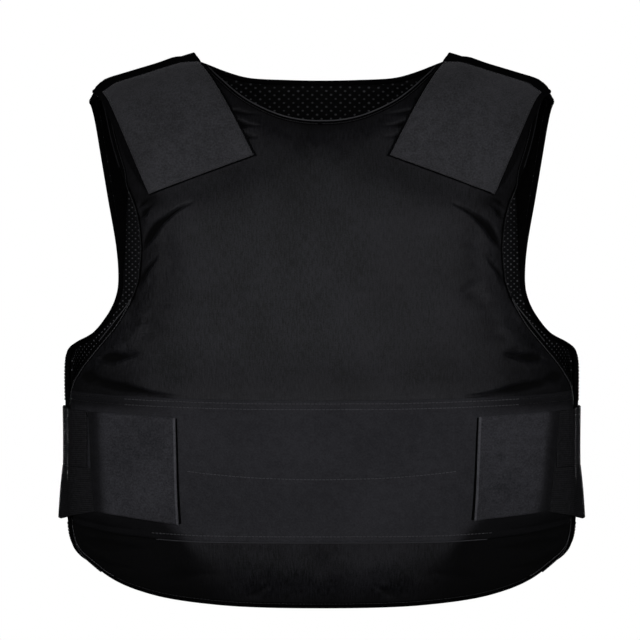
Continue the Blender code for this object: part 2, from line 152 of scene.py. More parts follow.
PANEL_FOLDS = (
    # width, depth, line of (girth, height) from its outer end
    (0.0019, 0.0030, ((0.1715, -0.1440), (0.1665, -0.1410), (0.1590, -0.1372), (0.1490, -0.1330))),
    (0.0025, 0.0044, ((0.1705, -0.1560), (0.1650, -0.1500), (0.1580, -0.1447), (0.1490, -0.1390))),
    (0.0034, 0.0060, ((0.1690, -0.1870), (0.1640, -0.1776), (0.1580, -0.1706), (0.1510, -0.1617),
                      (0.1400, -0.1537), (0.1280, -0.1457), (0.1120, -0.1380))),
    (0.0036, 0.0058, ((0.1815, -0.2230), (0.1770, -0.2176), (0.1690, -0.2106), (0.1620, -0.2026),
                      (0.1560, -0.1966), (0.1490, -0.1870))),
    (0.0080, 0.0012, ((0.1850, -0.2495), (0.1690, -0.2490), (0.1530, -0.2490))),
    (0.0044, 0.0050, ((0.2100, -0.2845), (0.1930, -0.2835), (0.1800, -0.2825), (0.1620, -0.2795))),
    (0.0056, 0.0046, ((0.2380, -0.3010), (0.2200, -0.3020), (0.2070, -0.3050), (0.1900, -0.3085))),
    (0.0036, 0.0048, ((0.2150, -0.3080), (0.1920, -0.3100), (0.1770, -0.3125), (0.1610, -0.3155),
                      (0.1470, -0.3180), (0.1240, -0.3206))),
    (0.0026, 0.0024, ((0.0860, -0.0530), (0.0720, -0.0560), (0.0520, -0.0574))),
    (0.0028, 0.0036, ((0.0840, -0.0655), (0.0700, -0.0685), (0.0520, -0.0700))),
    (0.0024, 0.0024, ((0.0760, -0.0780), (0.0660, -0.0800), (0.0540, -0.0805))),
    (0.0034, 0.0030, ((0.2460, -0.4345), (0.2180, -0.4385), (0.1920, -0.4412), (0.1580, -0.4430))),
    (0.0030, 0.0026, ((0.2440, -0.4425), (0.2150, -0.4465), (0.1880, -0.4488), (0.1480, -0.4500))),
    (0.0056, 0.0056, ((0.2340, -0.4560), (0.2100, -0.4575), (0.1850, -0.4590), (0.1550, -0.4600))),
    (0.0042, 0.0030, ((0.2330, -0.4700), (0.2120, -0.4760), (0.1880, -0.4780), (0.1700, -0.4780))),
    (0.0070, 0.0024, ((0.1500, -0.4860), (0.1250, -0.4820), (0.0950, -0.4810))),
    (0.0050, 0.0020, ((0.0700, -0.5040), (0.0560, -0.4960), (0.0460, -0.4900))),
)

# Swelling of the padding: cloth pressure, farthest movement, frames
PUFF_PRESSURE = 3.0
PUFF_LIMIT = 0.0024
PUFF_FRAMES = 20

# Meshes and stitches
PANEL_GRID = 0.0048
PANEL_INSET = 0.0022
LINING_GRID = 0.0080
LINING_INSET = 0.0042
SLAB_GRID = 0.004
STITCH_PITCH = 0.0034
STITCH_RADIUS = 0.00042
CORD_RADIUS = 0.00055

# The photograph's view
VIEW_DISTANCE = 3.0
METRES_PER_PIXEL = 0.000965
IMAGE_WIDTH = 640
CAMERA_X = -1.7 * METRES_PER_PIXEL
CAMERA_Z = -0.2485
FLOOR_Z = -1.10


def smooth(t):
    t = np.clip(t, 0, 1)
    return t * t * (3 - 2 * t)


def between(start, end, start_slope, end_slope, t):
    """A smooth way from one value to the next, with a slope at each end."""
    first = start * (1 + 2 * t) * (1 - t) ** 2 + start_slope * t * (1 - t) ** 2
    return first + (end * t * t * (3 - 2 * t) + end_slope * t * t * (t - 1))


def quarter_table(across, along, power, steps=1500):
    """Arc length against angle on a quarter of a superellipse."""
    angle = np.linspace(0, math.pi / 2, steps)
    u = across * np.sin(angle) ** (2 / power)
    v = along * np.cos(angle) ** (2 / power)
    length = np.concatenate([[0], np.cumsum(np.hypot(np.diff(u), np.diff(v)))])
    return length, angle


GIRTH = {side: quarter_table(FIRM_HALF_WIDTH, FIRM_DEPTH[side], SIDE_POWER) for side in OTHER}
ARCH = {side: quarter_table(SHOULDER[side][0], FIRM_DEPTH[side], SHOULDER[side][1]) for side in OTHER}
QUARTER = {side: GIRTH[side][0][-1] for side in OTHER}
ARCH_LENGTH = {side: ARCH[side][0][-1] for side in OTHER}


def section_value(height, column):
    """A column of the body table at any height, as a smooth curve."""
    rows = np.array(BODY_SECTIONS)[::-1]
    levels, values = rows[:, 0], rows[:, column]
    slope = np.gradient(values, levels)
    i = np.clip(np.searchsorted(levels, height) - 1, 0, len(levels) - 2)
    h = levels[i + 1] - levels[i]
    t = np.clip((height - levels[i]) / h, 0, 1)
    return between(values[i], values[i + 1], h * slope[i], h * slope[i + 1], t)


def girth_angle(girth, facing):
    """Angle on the body's section, and whether the cloth has passed the side line."""
    g = np.abs(girth)
    other = OTHER[facing]
    past = g > QUARTER[facing]
    beyond = np.interp(QUARTER[other] - (g - QUARTER[facing]), *GIRTH[other])
    return np.where(past, beyond, np.interp(g, *GIRTH[facing])), past


def crest_height(x):
    """Height of the shoulder's crest: a straight slope that rounds off toward the arm."""
    past = np.clip((x - SHOULDER_END) / SHOULDER_ROUNDING, 0, 1.4)
    sunk = SHOULDER_SINK * smooth((x - SHOULDER_SINK_START) / 0.035)
    return -CREST_SLOPE * (x - CREST_X) - SHOULDER_DROP * past * past - sunk


def body_points(girth, height, facing):
    """Points of the body under a cloth laid on the front or the back."""
    girth, height = np.broadcast_arrays(np.asarray(girth, float), np.asarray(height, float))
    angle, past = girth_angle(girth, facing)
    column = {"front": 2, "back": 3}
    x = section_value(height, 1) * np.sin(angle) ** (2 / SIDE_POWER)
    reach = np.cos(angle) ** (2 / SIDE_POWER)
    crest = crest_height(x)
    y = np.zeros_like(x)
    z = np.zeros_like(x)
    for first in (facing, OTHER[facing]):
        second = OTHER[first]
        rounding, power = SHOULDER[first]
        start = crest - rounding
        over = height - start - ARCH_LENGTH[first]
        a = np.interp(np.clip(height - start, 0, None), *ARCH[first])
        y_up = section_value(height, column[first]) * reach * np.cos(a) ** (2 / power)
        z_up = np.where(height > start, start + rounding * np.sin(a) ** (2 / power), height)
        # past the crest the cloth runs down the other half
        rounding, power = SHOULDER[second]
        left = ARCH_LENGTH[second] - over
        a = np.interp(np.clip(left, 0, None), *ARCH[second])
        level = crest - rounding + left
        y_down = -section_value(level, column[second]) * reach * np.cos(a) ** (2 / power)
        z_down = crest - rounding + np.where(left > 0, rounding * np.sin(a) ** (2 / power), left)
        here = past != (first == facing)
        sign = -1 if first == "front" else 1
        y = np.where(here, sign * np.where(over > 0, y_down, y_up), y)
        z = np.where(here, np.where(over > 0, z_down, z_up), z)
    return np.stack([np.sign(girth) * x, y, z], -1)


def worn(girth, height, facing, offset, step=4e-4):
    """Cloth points at a distance from the body."""
    girth, height = np.broadcast_arrays(np.asarray(girth, float), np.asarray(height, float))
    across = body_points(girth + step, height, facing) - body_points(girth - step, height, facing)
    along = body_points(girth, height + step, facing) - body_points(girth, height - step, facing)
    normal = np.cross(across, along) * (1 if facing == "front" else -1)
    normal /= np.linalg.norm(normal, axis=-1, keepdims=True)
    return body_points(girth, height, facing) + normal * np.broadcast_to(offset, girth.shape)[..., None]


def outward(girth, height, facing, base):
    """Cloth points, and the direction away from the body there."""
    centre = worn(girth, height, facing, base)
    direction = worn(girth, height, facing, base + 0.001) - centre
    return centre, direction / np.linalg.norm(direction, axis=-1, keepdims=True)


def line_length(line):
    """Length along a line up to each of its points."""
    return np.concatenate([[0], np.cumsum(np.linalg.norm(np.diff(line, axis=0), axis=1))])


def cut_line(rows, spacing, closed=True):
    """A smooth line through a table's points, in pieces of about the spacing."""
    points = np.array([row[:2] for row in rows], float)
    count = len(points)
    line = []
    for i in range(count if closed else count - 1):
        ends = [(i + k) % count if closed else min(max(i + k, 0), count - 1) for k in (-1, 0, 1, 2)]
        p0, p1, p2, p3 = points[ends]
        length = np.linalg.norm(p2 - p1)
        start = (p2 - p0) / max(np.linalg.norm(p2 - p0), 1e-9) * length
        end = (p3 - p1) / max(np.linalg.norm(p3 - p1), 1e-9) * length
        parts = max(1, round(length / spacing))
        for k in range(parts):
            line.append(between(p1, p2, start, end, k / parts))
    if not closed:
        line.append(points[-1])
    return np.array(line)


def both_halves(rows):
    """A half outline and its mirror image as one closed outline."""
    mirrored = [(-row[0],) + tuple(row[1:]) for row in rows[-2:0:-1]]
    return tuple(rows) + tuple(mirrored)


def even_line(line, spacing, closed=True):
    """A line in equal pieces."""
    ring = np.vstack([line, line[:1]]) if closed else np.asarray(line)
    length = line_length(ring)
    parts = max(2, round(length[-1] / spacing))
    at = np.arange(parts if closed else parts + 1) * length[-1] / parts
    return np.stack([np.interp(at, length, ring[:, k]) for k in range(ring.shape[1])], -1)


def inward_normals(outline):
    tangent = np.roll(outline, -1, 0) - np.roll(outline, 1, 0)
    tangent /= np.linalg.norm(tangent, axis=1, keepdims=True)
    area = np.sum(outline[:, 0] * np.roll(outline[:, 1], -1) - np.roll(outline[:, 0], -1) * outline[:, 1])
    turn = 1 if area > 0 else -1
    return np.stack([-tangent[:, 1], tangent[:, 0]], -1) * turn


def signed_distance(girth, height, outline):
    """Distance from a closed outline, above zero inside it."""
    p = np.stack([np.ravel(girth), np.ravel(height)], -1)
    best = np.full(len(p), 1e9)
    inside = np.zeros(len(p), bool)
    for start, end in zip(outline, np.roll(outline, -1, 0)):
        along = end - start
        t = np.clip(((p - start) @ along) / (along @ along), 0, 1)
        best = np.minimum(best, np.linalg.norm(p - start - t[:, None] * along, axis=1))
        if end[1] != start[1]:
            crosses = (start[1] > p[:, 1]) != (end[1] > p[:, 1])
            at = (end[0] - start[0]) * (p[:, 1] - start[1]) / (end[1] - start[1]) + start[0]
            inside ^= crosses & (p[:, 0] < at)
    return np.where(inside, best, -best).reshape(np.shape(girth))


def fold_rise(girth, height):
    """Creases of the front panel: a groove along a line, with a soft lip on its lower side."""
    shape = np.shape(girth)
    g = np.abs(np.ravel(girth))
    h = np.ravel(height)
    turned = np.where(np.ravel(girth) > 0, 0.85, 1.0)
    rise = np.zeros_like(g)
    for width, depth, line in PANEL_FOLDS:
        path = cut_line(line, 0.006, closed=False)
        length = line_length(path)
        near = np.full(len(g), 1e9)
        side = np.zeros(len(g))
        share = np.zeros(len(g))
        for k in range(len(path) - 1):
            along = path[k + 1] - path[k]
            dg, dh = g - path[k][0], h - path[k][1]
            t = np.clip((dg * along[0] + dh * along[1]) / (along @ along), 0, 1)
            away = np.hypot(dg - t * along[0], dh - t * along[1])
            closer = away < near
            near = np.where(closer, away, near)
            side = np.where(closer, np.sign(along[0] * dh - along[1] * dg), side)
            share = np.where(closer, (length[k] + t * (length[k + 1] - length[k])) / length[-1], share)
        heart = np.exp(-(((share - 0.32) / 0.23) ** 2))
        fade = smooth((share + 0.08) / 0.22) * smooth((1 - share) / 0.30) * (0.42 + 0.58 * heart)
        spread = width * (0.34 + 0.66 * heart)
        groove = np.exp(-((near / spread) ** 2))
        lip = np.exp(-(((near * side - 2.0 * spread) / (1.3 * spread)) ** 2))
        rise += depth * fade * turned * (0.10 * lip - groove)
    return rise.reshape(shape)


OUTLINES = {"front": FRONT_OUTLINE, "back": BACK_OUTLINE}
EDGE = {facing: cut_line(both_halves(OUTLINES[facing]), 0.006) for facing in OUTLINES}
BAND_TABLE = np.array(BAND_ROWS)
BAND_EDGE = np.array(
    [(g, top) for g, top, _ in BAND_TABLE] + [(g, low) for g, _, low in BAND_TABLE[::-1]]
    + [(-g, low) for g, _, low in BAND_TABLE[1:]] + [(-g, top) for g, top, _ in BAND_TABLE[:0:-1]]
)
STRAP_EDGE = np.array([(row[0], row[1]) for row in STRAP_ROWS] + [(row[2], row[3]) for row in STRAP_ROWS[::-1]])


def band_edges(girths):
    """Heights of the band's top and bottom edge."""
    return [np.interp(np.abs(girths), BAND_TABLE[:, 0], BAND_TABLE[:, column]) for column in (1, 2)]


def padding(girth, height, facing):
    """Thickness of a panel: thin at its bound edge and full inside."""
    inside = np.clip(signed_distance(girth, height, EDGE[facing]), 0, None)
    return PANEL_EDGE + (PANEL_FULL - PANEL_EDGE) * smooth(inside / PANEL_RAMP)


def creases(girth, height):
    """The creases, shallower where the tape holds the edge."""
    inside = np.clip(signed_distance(girth, height, EDGE["front"]), 0, None)
    return fold_rise(girth, height) * (0.25 + 0.75 * smooth((inside - 0.001) / 0.009))


def painted_shade_amount(girth, height, folds=True):
    """How much shade is painted into the front cloth, from 0 to 1: at its edges, in its lower corners and in
    its creases.
    """
    g = np.abs(girth)
    inside = np.clip(signed_distance(girth, height, EDGE["front"]), 0, None)
    below = smooth((-0.450 - height) / 0.03)
    outer = smooth((g - 0.100) / 0.060)
    beside_patch = 0.45 * smooth((g - 0.150) / 0.012) * smooth((height + 0.150) / 0.020)
    under_strap = 0.70 * np.exp(-(((g - 0.155) / 0.013) ** 2) - ((height + 0.139) / 0.008) ** 2)
    top_strip = 0.45 * smooth((g - 0.125) / 0.045) * np.exp(-(((height + 0.326) / 0.010) ** 2))
    edge = (0.62 * (1 - below) + 0.88 * below) * (1 - smooth(inside / (0.013 + 0.012 * below)))
    corner = 0.92 * smooth((g - 0.060) / 0.070)
    corner = corner * smooth((-0.452 + 0.036 * outer - height) / (0.030 - 0.016 * outer))
    above_band = 0.55 * smooth((g - 0.150) / 0.045) * smooth((-0.280 - height) / 0.020)
    above_band = above_band * smooth((height + 0.334) / 0.008)
    throat = 0.75 * np.exp(-((girth / 0.036) ** 2)) * (1 - smooth((-0.067 - height) / 0.012))
    collar = 0.22 * smooth((height + 0.185) / 0.100)
    # Each term is painted shade: beside the patch, under the strap, along the band's top edge, at the edges, in
    # the lower corners, above the band, at the throat and on the upper chest.
    unshaded = 1.0
    for paint_shade in (beside_patch, under_strap, top_strip, edge, corner, above_band, throat, collar):
        unshaded = unshaded * (1 - paint_shade)
    # painted shade in the grooves of the creases
    if folds:
        unshaded = unshaded * (1 - 0.97 * smooth((-creases(girth, height) - 0.0004) / 0.0022))
    return 1 - unshaded


def front_outside(girth, height):
    """Outer face of the front panel, creases included."""
    return padding(girth, height, "front") + creases(girth, height)


def back_outside(girth, height):
    return padding(girth, height, "back")


OUTSIDE = {"front": front_outside, "back": back_outside}


def tape_shown(girth, height, facing):
    """Width of the edge tape on the outer face: broad at the shoulder, the sides and the hem."""
    if facing == "back":
        return np.full(np.shape(girth), TAPE_SHOWN)
    broad = smooth((height + 0.128) / 0.020) * smooth((np.abs(girth) - 0.13) / 0.02)
    broad = broad + smooth((-0.225 - height) / 0.030)
    neck = smooth((0.13 - np.abs(girth)) / 0.02) * smooth((height + 0.10) / 0.02)
    return TAPE_NARROW + (TAPE_SHOWN - TAPE_NARROW) * np.clip(broad + 0.55 * neck, 0, 1)


def band_seat(girth, height):
    return front_outside(girth, height) + RESTING_GAP


def tab_seat(girth, height):
    return band_seat(girth, height) + BAND_THICKNESS + RESTING_GAP


def strap_seat(girth, height):
    """Underside of a shoulder strap: on the front panel, over the crest and down the back panel."""
    angle, _ = girth_angle(girth, "front")
    x = FIRM_HALF_WIDTH * np.sin(angle) ** (2 / SIDE_POWER)
    crest = crest_height(x)
    over = height - (crest - SHOULDER["front"][0] + ARCH_LENGTH["front"])
    back_girth = np.interp(angle, GIRTH["back"][1], GIRTH["back"][0])
    back_height = crest - SHOULDER["back"][0] + ARCH_LENGTH["back"] - over
    on_front = front_outside(girth, height) + RESTING_GAP + 0.0003
    on_back = back_outside(back_girth, back_height) + RESTING_GAP + 0.0008
    blend = np.clip(over / 0.03 + 0.5, 0, 1)
    return on_front * (1 - blend) + on_back * blend


def elastic_seat(girth, height):
    """Underside of the webbing: over the belly band, free at the side, then on the back panel."""
    g = np.abs(girth)
    on_band = front_outside(g, height) + BAND_THICKNESS + 2 * RESTING_GAP
    back_girth = QUARTER["front"] + QUARTER["back"] - g
    on_back = back_outside(back_girth, height) + RESTING_GAP
    leave = smooth((g - 0.2480) / 0.0150)
    land = smooth((g - QUARTER["front"] + 0.004) / 0.012)
    seat = on_band * (1 - leave) + ELASTIC_SIDE_OFFSET * leave
    seat = seat * (1 - land) + np.maximum(on_back, ELASTIC_SIDE_OFFSET) * land
    low = np.clip((-0.385 - height) / 0.052, 0, 1)
    free = smooth((g - 0.236) / 0.040) * smooth((0.338 - g) / 0.040)
    return seat + ELASTIC_FLARE * low * free


def plus(seat, rise):
    return lambda g, h: seat(g, h) + rise


# Meshes


def new_piece(name, mesh, materials, node=None):
    """Keep a finished mesh as a piece that rides on the vest and stands for its solid."""
    data = bpy.data.meshes.new(name)
    bmesh.ops.recalc_face_normals(mesh, faces=mesh.faces)
    if mesh.calc_volume(signed=True) < 0:
        bmesh.ops.reverse_faces(mesh, faces=mesh.faces)
    mesh.to_mesh(data)
    mesh.free()
    data.polygons.foreach_set("use_smooth", [True] * len(data.polygons))
    for material in materials:
        data.materials.append(material)
    piece = bpy.data.objects.new(name, data)
    bpy.context.scene.collection.objects.link(piece)
    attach(piece, "root")
    if node:
        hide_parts(node)
    return piece


def store_shade(piece, values):
    """Keep a painted-shade value at each vertex for the cloth's material."""
    layer = piece.data.attributes.new("shade", "FLOAT", "POINT")
    layer.data.foreach_set("value", np.ravel(values).astype(np.float32))


def lay_flat(mesh, verts, girths, heights):
    """Store the flat layout as the mesh's texture coordinates, in metres."""
    layer = mesh.loops.layers.uv.verify()
    place = {v: (g, h) for v, g, h in zip(verts, girths, heights)}
    for face in mesh.faces:
        for loop in face.loops:
            loop[layer].uv = place[loop.vert]


def panel_mesh(outline, spacing, facing, inner, outer):
    """A closed padded plate on an even grid, cut to an outline and bent round the body."""
    mesh = bmesh.new()
    mesh.faces.new([mesh.verts.new((g, h, 0)) for g, h in outline])
    low, high = outline.min(0), outline.max(0)
    planes = [((g, 0, 0), (1, 0, 0)) for g in np.arange(spacing / 2, high[0], spacing)]
    planes += [((-g, 0, 0), (1, 0, 0)) for (g, _, _), _ in planes]
    planes += [((0, h, 0), (0, 1, 0)) for h in np.arange(low[1] + spacing / 2, high[1], spacing)]
    for point, direction in planes:
        everything = mesh.verts[:] + mesh.edges[:] + mesh.faces[:]
        bmesh.ops.bisect_plane(mesh, geom=everything, dist=0.0004, plane_co=point, plane_no=direction)
    flat = mesh.verts[:]
    grown = bmesh.ops.extrude_face_region(mesh, geom=mesh.faces[:], use_keep_orig=True)["geom"]
    top = [item for item in grown if isinstance(item, bmesh.types.BMVert)]
    top_set = set(top)
    for face in mesh.faces:
        face.material_index = 0 if any(v in top_set for v in face.verts) else 1
    places = []
    for verts, offset in ((flat, inner), (top, outer)):
        g = np.array([v.co.x for v in verts])
        h = np.array([v.co.y for v in verts])
        places.append((verts, g, h, worn(g, h, facing, offset(g, h))))
    lay_flat(mesh, flat + top, np.concatenate([p[1] for p in places]), np.concatenate([p[2] for p in places]))
    for verts, _, _, points in places:
        for vert, point in zip(verts, points):
            vert.co = point
    return mesh


def grid_lines(length, spacing, rounding):
    """Even stations along an edge, with extra ones where the rim rounds over, from 0 to 1."""
    rim = [0.0, 0.25 * rounding, 0.6 * rounding, 1.1 * rounding]
    body = np.linspace(rim[-1], length - rim[-1], max(2, round(length / spacing)))
    return np.concatenate([rim[:-1], body, [length - r for r in rim[-2::-1]]]) / length


def slab(name, rows, seat, thickness, materials, node=None, columns=None, facing="front", mirror=1,
         rounding=0.0012, relief=None, lift=0.0, highlight_width=0.0, shade=None):
    """A four-sided cloth piece: rows run from its inner to its outer edge, and its rim rounds over.

    rows: tables of (girth, height, girth, height). relief(u, v, girth, height) raises the outer face.
    """
    rows = np.array(rows, float)
    steps = line_length(rows[:, :2])
    length = steps[-1]
    width = np.linalg.norm(rows[0, 2:] - rows[0, :2])
    us = grid_lines(width, SLAB_GRID, rounding) if columns is None else columns
    vs = grid_lines(length, SLAB_GRID, rounding)
    at = np.stack([np.interp(vs * length, steps, rows[:, k]) for k in range(4)], -1)
    u = us[None, :, None]
    flat = at[:, None, :2] * (1 - u) + at[:, None, 2:] * u
    g, h = flat[..., 0] * mirror, flat[..., 1]
    span = np.linalg.norm(at[:, 2:] - at[:, :2], axis=1)[:, None]
    sideways = np.minimum(us[None, :], 1 - us[None, :]) * span
    lengthways = np.minimum(vs[:, None], 1 - vs[:, None]) * length
    rim = np.minimum(sideways, lengthways)
    t = np.clip(rim / rounding, 0, 1)
    crown = np.sqrt(1 - (1 - t) ** 2)
    base = seat(g, h) + lift * np.clip(1 - us[None, :] * span / 0.010, 0, 1) ** 2
    top = base + thickness * (0.45 + 0.55 * crown)
    if relief is not None:
        top = top + relief(us[None, :] + 0 * h, vs[:, None] + 0 * h, g, h)
    low = base + thickness * 0.20 * (1 - crown)
    mesh = bmesh.new()
    upper = [[mesh.verts.new(p) for p in row] for row in worn(g, h, facing, top)]
    lower = [[mesh.verts.new(p) for p in row] for row in worn(g, h, facing, low)]
    n, m = g.shape
    for i in range(n - 1):
        for j in range(m - 1):
            face = mesh.faces.new((upper[i][j], upper[i + 1][j], upper[i + 1][j + 1], upper[i][j + 1]))
            # faces along the inner edge take the second material, a painted highlight
            if us[j + 1] * width < highlight_width:
                face.material_index = 1
            mesh.faces.new((lower[i][j], lower[i][j + 1], lower[i + 1][j + 1], lower[i + 1][j]))
    border = [(0, j) for j in range(m)] + [(i, m - 1) for i in range(1, n)]
    border += [(n - 1, j) for j in range(m - 2, -1, -1)] + [(i, 0) for i in range(n - 2, 0, -1)]
    for (i, j), (k, l) in zip(border, border[1:] + border[:1]):
        mesh.faces.new((upper[i][j], upper[k][l], lower[k][l], lower[i][j]))
    verts = [v for row in upper for v in row] + [v for row in lower for v in row]
    lay_flat(mesh, verts, np.concatenate([g.ravel()] * 2), np.concatenate([h.ravel()] * 2))
    piece = new_piece(name, mesh, materials, node)
    if shade is not None:
        store_shade(piece, np.concatenate([shade(g, h).ravel()] * 2))
    return piece


def edge_tape(name, facing, material, node):
    """Tape folded over a panel's edge: a flat wrap on both faces with a rounded fold between them."""
    ring = even_line(EDGE[facing], 0.0040)
    inward = inward_normals(ring)
    for _ in range(3):
        inward = (np.roll(inward, 1, 0) + 2 * inward + np.roll(inward, -1, 0)) / 4
    inward /= np.linalg.norm(inward, axis=1, keepdims=True)
    profile = (
        # inset, share of the panel's thickness, extra height
        (TAPE_SHOWN, 1.0, -0.0004),
        (TAPE_SHOWN - 0.0002, 1.0, 0.00035),
        (TAPE_SHOWN - 0.0010, 1.0, 0.00055),
        (0.0044, 1.0, 0.00042),
        (0.0028, 1.0, 0.00050),
        (0.0014, 0.98, 0.0003),
        (0.0005, 0.86, 0.0),
        (0.0001, 0.68, 0.0),
        (0.0000, 0.50, 0.0),
        (0.0002, 0.30, 0.0),
        (0.0008, 0.13, 0.0),
        (0.0018, 0.02, -0.0001),
        (0.0034, 0.0, -0.00035),
        (TAPE_INSIDE - 0.0010, 0.0, -0.0004),
        (TAPE_INSIDE, 0.0, 0.0003),
    )
    narrowing = tape_shown(ring[:, 0], ring[:, 1], facing) / TAPE_SHOWN
    mesh = bmesh.new()
    loops, flat_g, flat_h = [], [], []
    for inset, share, extra in profile:
        narrow = narrowing if share == 1.0 else np.ones(len(ring))
        at = ring + inward * (inset * narrow)[:, None]
        thickness = OUTSIDE[facing](at[:, 0], at[:, 1]) * share + extra
        loops.append([mesh.verts.new(p) for p in worn(at[:, 0], at[:, 1], facing, thickness)])
        flat_g.append(at[:, 0])
        flat_h.append(at[:, 1])
    count = len(ring)
    for k, loop in enumerate(loops):
        after = loops[(k + 1) % len(loops)]
        for i in range(count):
            j = (i + 1) % count
            mesh.faces.new((loop[i], loop[j], after[j], after[i]))
    verts = [v for loop in loops for v in loop]
    lay_flat(mesh, verts, np.concatenate(flat_g), np.concatenate(flat_h))
    return new_piece(name, mesh, [material], node)


def around(centre, sideways, upward, radius, sides):
    """A ring of points round each centre."""
    turn = np.arange(sides) * 2 * math.pi / sides
    spokes = sideways[..., None, :] * np.cos(turn)[:, None] + upward[..., None, :] * np.sin(turn)[:, None]
    return centre[..., None, :] + spokes * radius


def skin(mesh, rings):
    """Join rings of points into a closed round body."""
    rings = [[mesh.verts.new(p) for p in ring] for ring in rings]
    sides = len(rings[0])
    for a, b in zip(rings[:-1], rings[1:]):
        for corner in range(sides):
            after = (corner + 1) % sides
            mesh.faces.new((a[corner], a[after], b[after], b[corner]))
    mesh.faces.new(rings[0][::-1])
    mesh.faces.new(rings[-1])


def thread_run(mesh, line, facing, seat, closed=False, mirror=1):
    """Stitches along a flat line: a short, slightly arched bead of thread for each one."""
    stations = even_line(np.asarray(line, float), STITCH_PITCH, closed)
    if closed:
        stations = np.vstack([stations, stations[:1]])
    share = np.array([0.02, 0.16, 0.84, 0.98])
    lift = np.array([-0.0003, 0.00022, 0.00022, -0.0003])
    size = np.array([0.5, 1.0, 1.0, 0.5]) * STITCH_RADIUS
    start, end = stations[:-1, None], stations[1:, None]
    flat = start + (end - start) * share[None, :, None]
    g, h = flat[..., 0] * mirror, flat[..., 1]
    centre, upward = outward(g, h, facing, seat(g, h) + lift)
    ahead = centre[:, -1:] - centre[:, :1]
    ahead = ahead / np.linalg.norm(ahead, axis=-1, keepdims=True)
    sideways = np.cross(upward, np.broadcast_to(ahead, upward.shape))
    for stitch in around(centre, sideways, upward, size[:, None, None], 5):
        skin(mesh, stitch)


def tube(mesh, line, seat, radius):
    """A cord laid along an open flat line on the front."""
    g, h = line[:, 0], line[:, 1]
    centre, upward = outward(g, h, "front", seat(g, h))
    ahead = np.gradient(centre, axis=0)
    sideways = np.cross(upward, ahead)
    sideways /= np.linalg.norm(sideways, axis=1, keepdims=True)
    upward = np.cross(ahead, sideways)
    upward /= np.linalg.norm(upward, axis=1, keepdims=True)
    skin(mesh, around(centre, sideways, upward, radius, 8))


# Materials


class Look:
    """A cloth material under construction: a shader with its texture coordinates."""

    def __init__(self, name, roughness, sheen=0.0, sheen_roughness=0.5, specular=0.5):
        self.material = bpy.data.materials.new(name)
        self.material.use_nodes = True
        self.nodes = self.material.node_tree.nodes
        self.links = self.material.node_tree.links
        self.shader = self.nodes["Principled BSDF"]
        self.shader.inputs["Roughness"].default_value = roughness
        self.shader.inputs["Specular IOR Level"].default_value = specular
        self.shader.inputs["Sheen Weight"].default_value = sheen
        self.shader.inputs["Sheen Roughness"].default_value = sheen_roughness
        self.layout = self.nodes.new("ShaderNodeUVMap")
        self.bumps = None

    def scaled(self, u, v):
        mapping = self.nodes.new("ShaderNodeMapping")
        mapping.inputs["Scale"].default_value = (u, v, 1.0)
        self.links.new(self.layout.outputs["UV"], mapping.inputs["Vector"])
        return mapping.outputs["Vector"]

    def noise(self, u, v, detail=2.0, rough=0.5):
        node = self.nodes.new("ShaderNodeTexNoise")
        node.inputs["Scale"].default_value = 1.0
        node.inputs["Detail"].default_value = detail
        node.inputs["Roughness"].default_value = rough
        self.links.new(self.scaled(u, v), node.inputs["Vector"])
        return node.outputs["Fac"]

    def math(self, operation, a, b=None, clamp=False):
        node = self.nodes.new("ShaderNodeMath")
        node.operation = operation
        node.use_clamp = clamp
        for socket, value in zip(node.inputs, (a, b)):
            if value is None:
                continue
            if isinstance(value, (int, float)):
                socket.default_value = value
            else:
                self.links.new(value, socket)
        return node.outputs[0]

    def blend(self, *parts):
        """A sum of patterns, each with its weight."""
        total = None
        for pattern, weight in parts:
            part = self.math("MULTIPLY", pattern, weight)
            total = self.math("ADD", total, part) if total else part
        return total

    def wave(self, axis, period):
        """A cosine along girth or height, from -1 to 1."""
        split = self.nodes.new("ShaderNodeSeparateXYZ")
        self.links.new(self.layout.outputs["UV"], split.inputs[0])
        return self.math("COSINE", self.math("MULTIPLY", split.outputs[axis], 2 * math.pi / period))

    def colour(self, factor, dark, light, start=0.3, end=0.7):
        ramp = self.nodes.new("ShaderNodeMapRange")
        ramp.inputs["From Min"].default_value = start
        ramp.inputs["From Max"].default_value = end
        self.links.new(factor, ramp.inputs["Value"])
        mix = self.nodes.new("ShaderNodeMix")
        mix.data_type = "RGBA"
        mix.inputs["A"].default_value = (*dark, 1)
        mix.inputs["B"].default_value = (*light, 1)
        self.links.new(ramp.outputs["Result"], mix.inputs["Factor"])
        self.links.new(mix.outputs["Result"], self.shader.inputs["Base Color"])
        return mix

    def paint_shade(self, mix, base, extra_roughness=0.0, roughness=0.0):
        """Paint the stored shade into the cloth: darken its colour and roughen it."""
        stored = self.nodes.new("ShaderNodeAttribute")
        stored.attribute_name = "shade"
        darker = self.nodes.new("ShaderNodeMix")
        darker.data_type = "RGBA"
        darker.inputs["B"].default_value = (*base, 1)
        self.links.new(mix.outputs["Result"], darker.inputs["A"])
        self.links.new(stored.outputs["Fac"], darker.inputs["Factor"])
        self.links.new(darker.outputs["Result"], self.shader.inputs["Base Color"])
        if extra_roughness:
            rough = self.math("ADD", self.math("MULTIPLY", stored.outputs["Fac"], extra_roughness), roughness)
            self.links.new(rough, self.shader.inputs["Roughness"])

    def bump(self, height, strength, distance):
        node = self.nodes.new("ShaderNodeBump")
        node.inputs["Strength"].default_value = strength
        node.inputs["Distance"].default_value = distance
        self.links.new(height, node.inputs["Height"])
        if self.bumps:
            self.links.new(self.bumps, node.inputs["Normal"])
        self.bumps = node.outputs["Normal"]
        self.links.new(self.bumps, self.shader.inputs["Normal"])


